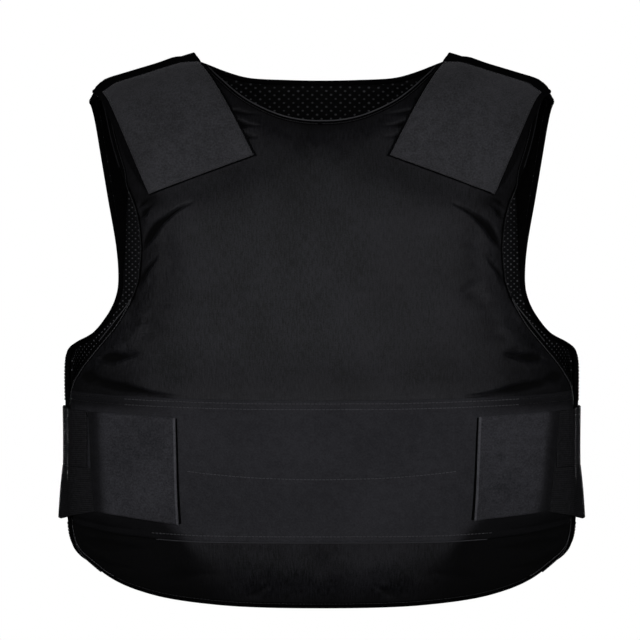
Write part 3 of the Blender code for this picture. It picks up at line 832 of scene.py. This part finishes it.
def shell_look():
    look = Look("shell_cloth", roughness=0.44, specular=0.11)
    streaks = look.noise(640, 130, 3.0, 0.6)
    grain = look.noise(760, 760, 2.0, 0.6)
    worn_patches = look.noise(22, 16, 3.0, 0.55)
    mixed = look.blend((streaks, 0.40), (grain, 0.35), (worn_patches, 0.25))
    mix = look.colour(mixed, (0.0006, 0.0006, 0.0007), (0.0104, 0.0104, 0.0118), 0.41, 0.59)
    # painted shade: the stored shade darkens the shell's colour and raises its roughness at its edges, corners
    # and creases
    look.paint_shade(mix, (0.0002, 0.0002, 0.0002), 0.56, 0.44)
    weave = look.math("MULTIPLY", look.wave(0, 0.0011), look.wave(1, 0.0013))
    look.bump(weave, 0.35, 0.00015)
    look.bump(streaks, 0.55, 0.0005)
    look.bump(worn_patches, 0.25, 0.0020)
    return look.material


def loop_look(name, dark, light, roughness=0.85, sheen=0.10, painted_shade=False):
    look = Look(name, roughness=roughness, sheen=sheen, sheen_roughness=0.45, specular=0.08 if painted_shade else 0.35)
    nap = look.noise(560, 560, 4.0, 0.75)
    clumps = look.noise(140, 140, 3.0, 0.6)
    rubbed = look.noise(18, 18, 2.0, 0.5)
    mixed = look.blend((nap, 0.55), (clumps, 0.25), (rubbed, 0.20))
    mix = look.colour(mixed, dark, light, 0.40, 0.60)
    # painted shade from the shade stored on the mesh
    if painted_shade:
        look.paint_shade(mix, (0.0006, 0.0006, 0.0007))
    look.bump(nap, 0.70, 0.0006)
    look.bump(clumps, 0.30, 0.0010)
    return look.material


def webbing_look(name, dark, light, axis, period, roughness=0.60, specular=0.35, contrast=0.45):
    look = Look(name, roughness=roughness, specular=specular)
    ribs = look.wave(axis, period)
    threads = look.wave(1 - axis, period * 1.7)
    shade = look.noise(300, 300, 2.0, 0.5)
    mixed = look.math("ADD", look.math("MULTIPLY", ribs, contrast), shade)
    look.colour(mixed, dark, light, 0.25, 0.75)
    look.bump(ribs, 0.60 if contrast > 0.3 else 0.30, 0.0003)
    look.bump(threads, 0.25, 0.0001)
    return look.material


def mesh_look():
    look = Look("mesh_lining", roughness=0.75, specular=0.05)
    split = look.nodes.new("ShaderNodeSeparateXYZ")
    look.links.new(look.layout.outputs["UV"], split.inputs[0])
    girth = look.math("ABSOLUTE", split.outputs[0])
    sides = look.math("GREATER_THAN", girth, 0.150)
    # The light dots are painted glints of the net, on a black ground.
    open_cells = look.math("MULTIPLY", look.wave(0, 0.0093), look.wave(1, 0.0080))
    close_cells = look.math("MULTIPLY", look.wave(0, 0.0066), look.wave(1, 0.0056))
    cells = look.blend((open_cells, look.math("SUBTRACT", 1.0, sides)), (close_cells, sides))
    size = look.noise(120, 120, 2.0, 0.5)
    dots = look.math("ADD", cells, look.math("MULTIPLY", size, 0.6))
    # Painted light: the dots brighten toward the bottom and near the armholes, with a painted light haze there.
    lower = look.math("ADD", look.math("MULTIPLY", split.outputs[1], -2.6), 0.30, clamp=True)
    arm_side = look.math("ADD", look.math("MULTIPLY", girth, -55.0), 11.1, clamp=True)
    near_arm = look.math("MULTIPLY", arm_side, sides)
    painted_haze = look.blend((near_arm, 0.10), (lower, 0.025))
    mix = look.colour(dots, (0.0003, 0.0003, 0.0003), (0.1350, 0.1350, 0.1420), 0.90, 1.34)
    ramp = mix.inputs["Factor"].links[0].from_socket
    seen = look.blend((ramp, lower), (near_arm, 0.015))
    look.links.new(look.math("MAXIMUM", seen, look.math("MULTIPLY", painted_haze, look.noise(500, 500, 2.0, 0.6))),
                   mix.inputs["Factor"])
    look.bump(cells, 0.25, 0.0008)
    look.bump(look.noise(700, 700, 2.0, 0.5), 0.3, 0.0003)
    return look.material


def plain_look(name, dark, light, roughness, specular, grain=900, sheen=0.0, ribs=0.0):
    look = Look(name, roughness=roughness, specular=specular, sheen=sheen)
    look.colour(look.noise(grain, grain), dark, light)
    if ribs:
        look.bump(look.wave(0, ribs), 0.5, 0.0002)
    return look.material


SHELL = shell_look()
# The band and tab cloth carry painted shade, from the shade stored on their meshes.
BAND_CLOTH = loop_look("band_cloth", (0.0130, 0.0130, 0.0143), (0.0240, 0.0240, 0.0264), 0.80, 0.0, True)
PATCH_CLOTH = loop_look("patch_cloth", (0.0070, 0.0070, 0.0077), (0.0280, 0.0280, 0.0308))
TAB_CLOTH = loop_look("tab_cloth", (0.0140, 0.0140, 0.0154), (0.0340, 0.0340, 0.0374), 0.85, 0.02, True)
STRAP_WEBBING = webbing_look("strap_webbing", (0.0006, 0.0006, 0.0007), (0.0030, 0.0030, 0.0033), 0, 0.0016,
                             0.75, 0.05)
ELASTIC_WEBBING = webbing_look("elastic_webbing", (0.0056, 0.0056, 0.0058), (0.0130, 0.0130, 0.0137), 1, 0.0019,
                               0.75, 0.05, 0.18)
TAPE = webbing_look("edge_tape", (0.0003, 0.0003, 0.0003), (0.0012, 0.0012, 0.0013), 0, 0.0012, 0.70, 0.03)
EDGE_ROLL = loop_look("edge_roll", (0.010, 0.010, 0.011), (0.022, 0.022, 0.0240), 0.75, 0.02)
# A lighter copy of the tab cloth: a painted highlight along the tab's inner edge.
TAB_EDGE_HIGHLIGHT = loop_look("tab_edge_highlight", (0.028, 0.028, 0.031), (0.056, 0.056, 0.0610), 0.80, 0.04)
MESH = mesh_look()
THREAD = plain_look("sewing_thread", (0.012, 0.012, 0.013), (0.021, 0.021, 0.0226), 0.50, 0.50, sheen=0.05)
# A darker copy of the sewing thread; at the outer ends of the band's top rows it stands for painted shade.
DARK_THREAD = plain_look("dark_thread", (0.0020, 0.0020, 0.0022), (0.0070, 0.0070, 0.0075), 0.60, 0.20)
DARK_CORD = webbing_look("dark_cord", (0.0035, 0.0035, 0.0037), (0.0085, 0.0085, 0.0090), 1, 0.0016, 0.75, 0.10)
GREY_CORD = webbing_look("grey_cord", (0.0100, 0.0100, 0.0105), (0.0220, 0.0220, 0.0230), 1, 0.0016)
PIPING = plain_look("neck_piping", (0.016, 0.016, 0.017), (0.034, 0.034, 0.036), 0.55, 0.40, 600, ribs=0.0012)


# Padded panels


def free_cloth(girth, height, facing):
    """How far a panel's face may move: not at its edge, nor where a band, strap or webbing holds it."""
    free = smooth((signed_distance(girth, height, EDGE[facing]) - 0.012) / 0.032)
    g = np.abs(girth)
    if facing == "front":
        free = free * smooth((-signed_distance(girth, height, BAND_EDGE) - 0.002) / 0.050)
        free = free * smooth((-signed_distance(g, height, STRAP_EDGE) - 0.002) / 0.030)
    else:
        under_elastic = g > QUARTER["front"] + QUARTER["back"] - ELASTIC_BACK_END - 0.004
        under_elastic &= (height > -0.445) & (height < -0.323)
        under_strap = (g > 0.105) & (height > -0.060)
        free = np.where(under_elastic | under_strap, 0.0, free)
    return free


def flat_places(data):
    """Girth and height of each vertex, from the flat layout."""
    uv = np.zeros(len(data.loops) * 2)
    data.uv_layers[0].data.foreach_get("uv", uv)
    corner = np.zeros(len(data.loops), int)
    data.loops.foreach_get("vertex_index", corner)
    flat = np.zeros((len(data.vertices), 2))
    flat[corner] = uv.reshape(-1, 2)
    return flat[:, 0], flat[:, 1]


def vertex_places(data):
    places = np.zeros(len(data.vertices) * 3)
    data.vertices.foreach_get("co", places)
    return places.reshape(-1, 3)


def move_vertices(data, places):
    data.vertices.foreach_set("co", places.ravel())
    data.update()


def puff(piece, facing):
    """Let the cloth of a padded panel swell and settle, held at its edge and under what lies on it."""
    data = piece.data
    rest = vertex_places(data)
    free = free_cloth(*flat_places(data), facing)
    group = piece.vertex_groups.new(name="held")
    group.add(np.flatnonzero(free < 0.02).tolist(), 1.0, "REPLACE")
    cloth = piece.modifiers.new("swell", "CLOTH")
    settings = cloth.settings
    settings.quality = 4
    settings.mass = 0.3
    settings.tension_stiffness = 12
    settings.compression_stiffness = 12
    settings.shear_stiffness = 6
    settings.bending_stiffness = 0.3
    settings.shrink_min = -0.012
    settings.use_pressure = True
    settings.uniform_pressure_force = PUFF_PRESSURE
    settings.vertex_group_mass = "held"
    settings.effector_weights.gravity = 0.0
    cloth.collision_settings.use_self_collision = False
    cloth.point_cache.frame_start = 1
    cloth.point_cache.frame_end = PUFF_FRAMES
    scene = bpy.context.scene
    for number in range(1, PUFF_FRAMES + 1):
        scene.frame_set(number)
    settled = piece.evaluated_get(bpy.context.evaluated_depsgraph_get()).data
    move = vertex_places(settled) - rest
    scene.frame_set(1)
    piece.modifiers.remove(cloth)
    size = np.linalg.norm(move, axis=1)
    limit = PUFF_LIMIT * free
    share = np.where(size > 1e-9, limit / (limit + size + 1e-9), 0)
    move_vertices(data, rest + move * share[:, None] * 1.6)


def flat_offset(value):
    return lambda g, h: np.full_like(g, value)


def refine(piece):
    """One smooth subdivision, kept in the mesh."""
    rounder = piece.modifiers.new("rounder", "SUBSURF")
    rounder.levels = 1
    rounder.render_levels = 1
    rounder.boundary_smooth = "PRESERVE_CORNERS"
    done = bpy.data.meshes.new_from_object(piece.evaluated_get(bpy.context.evaluated_depsgraph_get()))
    piece.modifiers.clear()
    old = piece.data
    piece.data = done
    done.name = piece.name
    bpy.data.meshes.remove(old)


def split_creases(piece, facing):
    """Halve the mesh of the outer face where a crease runs."""
    data = piece.data
    g, h = flat_places(data)
    skin_places, away = outward(g, h, facing, 0.5 * PANEL_EDGE)
    outer = np.sum((vertex_places(data) - skin_places) * away, axis=1) > 0
    wanted = (np.abs(fold_rise(g, h)) > 0.00016) & outer
    mesh = bmesh.new()
    mesh.from_mesh(data)
    mesh.verts.ensure_lookup_table()
    edges = {edge for face in mesh.faces if any(wanted[v.index] for v in face.verts)
             and all(outer[v.index] for v in face.verts) for edge in face.edges}
    bmesh.ops.subdivide_edges(mesh, edges=list(edges), cuts=1, use_grid_fill=True)
    mesh.to_mesh(data)
    mesh.free()
    data.polygons.foreach_set("use_smooth", [True] * len(data.polygons))


def crease(piece, facing):
    """Press the creases into the outer face, after the cloth has settled."""
    data = piece.data
    places = vertex_places(data)
    g, h = flat_places(data)
    inner_places, away = outward(g, h, facing, 0.0)
    share = np.clip(np.sum((places - inner_places) * away, axis=1) / padding(g, h, facing), 0, 1)
    rise = creases(g, h) * smooth(share)
    move_vertices(data, places + away * rise[:, None])


def panel(name, facing, node):
    ring = even_line(EDGE[facing], PANEL_GRID)
    outline = ring + inward_normals(ring) * PANEL_INSET
    mesh = panel_mesh(outline, PANEL_GRID, facing, flat_offset(0.0), lambda g, h: padding(g, h, facing))
    piece = new_piece(name, mesh, [SHELL, MESH], node)
    puff(piece, facing)
    refine(piece)
    if facing == "front":
        split_creases(piece, facing)
        crease(piece, facing)
        # painted shade for the shell: edges, lower corners, creases, throat and upper chest
        store_shade(piece, painted_shade_amount(*flat_places(piece.data)))
    else:
        # painted shade along the back panel's edge
        store_shade(piece, 0.4 * (1 - smooth(signed_distance(*flat_places(piece.data), EDGE["back"]) / 0.02)))


panel("front_panel_shell", "front", "front_panel")
panel("back_panel_shell", "back", "back_panel")


ring = even_line(EDGE["back"], 0.0060)
lining_outline = ring + inward_normals(ring) * LINING_INSET
lining_mesh = panel_mesh(lining_outline, LINING_GRID, "back", flat_offset(-0.0018), flat_offset(-0.0006))
lining = new_piece("back_mesh_lining", lining_mesh, [MESH, MESH], "back_lining")

edge_tape("front_edge_tape", "front", TAPE, "front_binding")
edge_tape("back_edge_tape", "back", TAPE, "back_binding")

# Belly band

MID_SEAM = 0.560
MID_SEAM_RISE = 0.045
BAND_SEAMS = (0.066, MID_SEAM, 0.957)
BAND_STITCH_END = 0.2430
BAND_SEWING = (
    # share of the band's height, reach of the row from the centre
    (0.024, 0.1800),
    (0.064, 0.1800),
    (MID_SEAM, 0.1215),
    (0.957, 0.1560),
)


def seam_share(seam, girth):
    """Where a seam runs, as a share of the band's height: the middle one curves."""
    return seam - (MID_SEAM_RISE * (girth / 0.12) ** 2 if seam == MID_SEAM else 0)


def band_relief(u, v, girth, height):
    """Rows of sewing pull the band in, and the cloth between them stands a little proud."""
    rise = 0.0003 * np.sin(v * math.pi)
    for seam, depth in zip(BAND_SEAMS, (0.0007, 0.0006, 0.0007)):
        rise = rise - depth * np.exp(-(((v - seam_share(seam, girth)) * 0.130 / 0.0016) ** 2))
    return rise


def band_piece():
    girths = np.linspace(-0.246, 0.246, 60)
    tops, lows = band_edges(girths)
    across = [0.0, 0.002, 0.005, 0.010, 0.025, 0.040, 0.990, 0.996, 1.0]
    for seam in BAND_SEAMS:
        across += [seam + k for k in (-0.022, -0.013, -0.007, 0.0, 0.007, 0.013, 0.022)]
    for start, end, step in ((0.485, 0.54, 0.007), (0.12, 0.52, 0.04), (0.61, 0.92, 0.04)):
        across += list(np.arange(start, end, step))
    across = np.array(sorted(set(round(a, 4) for a in across)))
    # The band carries painted shade, as the front cloth does, without the creases.
    return slab("belly_band_cloth", np.stack([girths, tops, girths, lows], -1), band_seat, BAND_THICKNESS,
                [BAND_CLOTH], "belly_band", columns=across, rounding=0.0014, relief=band_relief,
                shade=lambda g, h: painted_shade_amount(g, h, folds=False))


band = band_piece()

# Straps, patches, tabs and webbing

FACING_ROWS = (
    # girth, height, girth, height: the plain strip inside the back armhole
    (0.1850, 0.0320, 0.2190, 0.0230),
    (0.1930, -0.0180, 0.2250, -0.0180),
    (0.1950, -0.0690, 0.2185, -0.0690),
    (0.1925, -0.1090, 0.2115, -0.1090),
    (0.1945, -0.1420, 0.2055, -0.1420),
    (0.1955, -0.1750, 0.2010, -0.1750),
    (0.1975, -0.2000, 0.1990, -0.2000),
)


def tab_shade(rows):
    """Painted shade along the tab's outer end, where it is sewn to the webbing."""
    (_, low, low_end, _), (_, high, high_end, _) = rows
    end = lambda h: np.interp(h, (low, high), (low_end, high_end))
    return lambda g, h: 0.80 * smooth((np.abs(g) - end(h) + 0.018) / 0.010)


for side, sign in (("left", 1), ("right", -1)):
    low_row, top_row = TAB_ROWS[side]
    # A dark strip under the tab's inner edge: partly the tab's hook backing, partly painted shadow, sticking
    # out past the edge where the lifted edge casts its shadow.
    hook_and_shadow_strip = ((low_row[0] - 0.0016, low_row[1] + 0.0008, low_row[0] + 0.005, low_row[1] + 0.0008),
               (top_row[0] - 0.0007, top_row[1] - 0.0008, top_row[0] + 0.005, top_row[1] - 0.0008))
    slab("shoulder_strap_webbing_" + side, STRAP_ROWS, strap_seat, STRAP_THICKNESS, [STRAP_WEBBING],
         "shoulder_strap_" + side, mirror=sign)
    slab("shoulder_patch_cloth_" + side, PATCH_ROWS, plus(strap_seat, STRAP_THICKNESS + RESTING_GAP),
         PATCH_THICKNESS, [PATCH_CLOTH], "shoulder_patch_" + side, mirror=sign, rounding=0.0010)
    # the tab's inner edge takes a painted highlight, and its outer end painted shade
    slab("waist_tab_cloth_" + side, TAB_ROWS[side], tab_seat, TAB_THICKNESS, [TAB_CLOTH, TAB_EDGE_HIGHLIGHT],
         "waist_tab_" + side, mirror=sign, rounding=0.0018, lift=0.0018, highlight_width=0.0026,
         shade=tab_shade(TAB_ROWS[side]))
    slab("waist_tab_hook_and_shadow_strip_" + side, hook_and_shadow_strip, plus(band_seat, BAND_THICKNESS + 0.0001), 0.0004, [TAPE],
         mirror=sign, rounding=0.0003)
    for level, stations in ELASTIC_ROWS.items():
        rows = [(g, low, g, top) for g, low, top in stations]
        slab("waist_elastic_webbing_" + level + "_" + side, rows, elastic_seat, ELASTIC_THICKNESS,
             [ELASTIC_WEBBING], "waist_elastic_" + level + "_" + side, mirror=sign, rounding=0.0008)
for side, sign in (("left", 1), ("right", -1)):
    slab("armhole_facing_" + side, FACING_ROWS, flat_offset(-0.0028), 0.0008, [TAPE],
         facing="back", mirror=sign, rounding=0.0006)

# Piping of the neckline


def cord_seat(girth, height):
    return padding(girth, height, "front") * 0.80 + 0.0003


neck = cut_line(both_halves(FRONT_OUTLINE), 0.0025)
neck = neck[(np.abs(neck[:, 0]) < 0.106) & (neck[:, 1] > -0.066)]
neck = neck[np.argsort(neck[:, 0])]
neck_cord = bmesh.new()
tube(neck_cord, neck, cord_seat, 0.00060)
new_piece("neck_piping", neck_cord, [PIPING])

# Stitching


def shifted(rows, inset):
    """A closed loop inside the border of a four-sided piece's rows."""
    rows = np.array(rows, float)
    loop = np.vstack([rows[:, :2], rows[::-1, 2:]])
    loop = even_line(loop, 0.002)
    return loop + inward_normals(loop) * inset


front_threads = bmesh.new()
back_threads = bmesh.new()
patch_threads = bmesh.new()
dark_threads = bmesh.new()


def tape_sewing(facing, wanted, where):
    """Stitches along the tape, on the stretches the test picks."""
    ring = even_line(EDGE[facing], 0.0030)
    ring = ring + inward_normals(ring) * (tape_shown(ring[:, 0], ring[:, 1], facing) - 0.0012)[:, None]
    ring = np.roll(ring, -int(np.argmin(np.abs(ring[:, 0]) - ring[:, 1])), axis=0)
    held = wanted(np.abs(ring[:, 0]), ring[:, 1])
    ends = np.flatnonzero(np.diff(np.concatenate([[0], held.astype(int), [0]])))
    for start, end in zip(ends[::2], ends[1::2]):
        if end - start > 4:
            thread_run(where, ring[start:end], facing, plus(OUTSIDE[facing], 0.0007))


def light_stretch(g, h):
    return (g > 0.165) & (h < -0.228) & (h > -0.488)


def under_webbing(g, h):
    return (g > 0.20) & (h < -0.327) & (h > -0.441)


tape_sewing("front", lambda g, h: light_stretch(g, h) & ~under_webbing(g, h), front_threads)
tape_sewing("front", lambda g, h: ~light_stretch(g, h) & ~under_webbing(g, h), dark_threads)
tape_sewing("back", lambda g, h: (h < -0.235) & ~under_webbing(g, h), back_threads)
tape_sewing("back", lambda g, h: h >= -0.235, dark_threads)


def band_row(threads, seam, start, end):
    girths = np.linspace(start, end, 160)
    tops, lows = band_edges(girths)
    line = np.stack([girths, tops + (lows - tops) * seam_share(seam, girths)], -1)
    thread_run(threads, line, "front", plus(band_seat, BAND_THICKNESS - 0.0001))


def box_stitch(box, seat, mirror):
    """A sewn box with a cross in it."""
    for line in (box + box[:1], box[0::2], box[1::2]):
        thread_run(back_threads, line, "front", seat, mirror=mirror)


for seam, reach in BAND_SEWING:
    band_row(front_threads, seam, -reach, reach)
    if seam < 0.1:
        # the outer ends of the top rows take the darker thread, as painted shade
        band_row(dark_threads, seam, -BAND_STITCH_END, -reach - 0.003)
        band_row(dark_threads, seam, reach + 0.003, BAND_STITCH_END)
patch_top = plus(strap_seat, STRAP_THICKNESS + RESTING_GAP + PATCH_THICKNESS)
strap_end = [(0.1235, 0.1440), (0.1235, 0.1080), (0.2065, 0.0850), (0.2045, 0.1190)]
for sign in (1, -1):
    thread_run(patch_threads, shifted(PATCH_ROWS, 0.0024), "front", patch_top, closed=True, mirror=sign)
    box_stitch(strap_end, plus(strap_seat, STRAP_THICKNESS), sign)
    for low, top in ((-0.3812, -0.3350), (-0.4330, -0.3920)):
        elastic_end = [(0.399, top), (0.357, top), (0.357, low), (0.399, low)]
        box_stitch(elastic_end, plus(elastic_seat, ELASTIC_THICKNESS), sign)
side_edge = cut_line(FRONT_OUTLINE, 0.0025, closed=False)
for name, look, stretches in (("shoulder_cord", DARK_CORD, ((-0.002, -0.106),)),
                              ("side_cord", GREY_CORD, ((-0.226, -0.268), (-0.432, -0.486)))):
    edge_cord = bmesh.new()
    for high, low in stretches:
        part = side_edge[(side_edge[:, 0] > 0.165) & (side_edge[:, 1] < high) & (side_edge[:, 1] > low)]
        for sign in (1, -1):
            tube(edge_cord, part * (sign, 1), cord_seat, CORD_RADIUS)
    new_piece(name, edge_cord, [look])
roll = bmesh.new()
girths = np.linspace(-0.1520, 0.1520, 110)
roll_line = np.stack([girths, band_edges(girths)[1] - 0.0001], -1)
tube(roll, roll_line, plus(band_seat, BAND_THICKNESS * 0.62), CORD_RADIUS)
new_piece("belly_band_edge_bottom", roll, [EDGE_ROLL])
for name, threads, look in (("front_stitching", front_threads, THREAD),
                            ("back_stitching", back_threads, THREAD),
                            ("patch_stitching", patch_threads, PATCH_CLOTH),
                            ("edge_tape_stitching", dark_threads, DARK_THREAD)):
    new_piece(name, threads, [look])

# Stage, light and camera

scene = bpy.context.scene
scene.view_settings.view_transform = "Standard"
LIGHTS = (
    # name, place, height it aims at, width, height, watts, spread in degrees, seen in reflections
    ("key", (0.0, -2.8, -0.06), -0.25, 3.4, 0.5, 13.4, 80, True),
    ("key_left", (2.05, -2.25, -0.06), -0.25, 1.1, 0.5, 2.7, 80, True),
    ("key_right", (-2.05, -2.25, -0.06), -0.25, 1.1, 0.5, 2.7, 80, True),
    ("back_key", (0.0, 2.8, -0.43), -0.25, 2.4, 0.14, 14, 70, True),
    ("side_left", (2.7, 0.1, 0.1), -0.26, 0.8, 1.2, 0.45, 60, False),
    ("side_right", (-2.7, 0.1, 0.1), -0.26, 0.8, 1.2, 0.45, 60, False),
)


def area_light(name, place, aim, width, height, power, spread, reflected):
    data = bpy.data.lights.new(name, "AREA")
    data.energy = power
    data.shape = "RECTANGLE"
    data.size = width
    data.size_y = height
    data.spread = math.radians(spread)
    data.color = (0.985, 0.985, 1.04)
    light = bpy.data.objects.new(name, data)
    light.location = place
    light.rotation_euler = (Vector((0, 0, aim)) - Vector(place)).to_track_quat("-Z", "Y").to_euler()
    light.visible_glossy = reflected
    scene.collection.objects.link(light)


def floor_disc():
    mesh = bmesh.new()
    bmesh.ops.create_circle(mesh, cap_ends=True, segments=96, radius=2.2)
    data = bpy.data.meshes.new("floor")
    mesh.to_mesh(data)
    mesh.free()
    floor = bpy.data.objects.new("floor", data)
    floor.location = (0, 0, FLOOR_Z)
    scene.collection.objects.link(floor)
    material = bpy.data.materials.new("pale_floor")
    material.use_nodes = True
    shader = material.node_tree.nodes["Principled BSDF"]
    shader.inputs["Base Color"].default_value = (0.86, 0.86, 0.86, 1)
    shader.inputs["Roughness"].default_value = 0.9
    shader.inputs["Emission Color"].default_value = (1, 1, 1, 1)
    shader.inputs["Emission Strength"].default_value = 0.80
    data.materials.append(material)
    floor.visible_diffuse = False
    floor.visible_glossy = False


def white_world():
    """White to the eye, and only a little light from all round."""
    world = bpy.data.worlds.new("studio")
    scene.world = world
    world.use_nodes = True
    nodes, links = world.node_tree.nodes, world.node_tree.links
    seen = nodes["Background"]
    seen.inputs["Color"].default_value = (1, 1, 1, 1)
    seen.inputs["Strength"].default_value = 1.0
    glow = nodes.new("ShaderNodeBackground")
    glow.inputs["Color"].default_value = (1, 1, 1, 1)
    glow.inputs["Strength"].default_value = 0.008
    path = nodes.new("ShaderNodeLightPath")
    mix = nodes.new("ShaderNodeMixShader")
    links.new(path.outputs["Is Camera Ray"], mix.inputs[0])
    links.new(glow.outputs[0], mix.inputs[1])
    links.new(seen.outputs[0], mix.inputs[2])
    links.new(mix.outputs[0], nodes["World Output"].inputs["Surface"])


floor_disc()
white_world()
for row in LIGHTS:
    area_light(*row)

camera = bpy.data.objects.new("camera", bpy.data.cameras.new("camera"))
camera.data.sensor_width = 36.0
camera.data.lens = 36.0 * VIEW_DISTANCE / (METRES_PER_PIXEL * IMAGE_WIDTH)
camera.location = (CAMERA_X, -VIEW_DISTANCE, CAMERA_Z)
camera.rotation_euler = (math.radians(90), 0, 0)
scene.collection.objects.link(camera)
scene.camera = camera
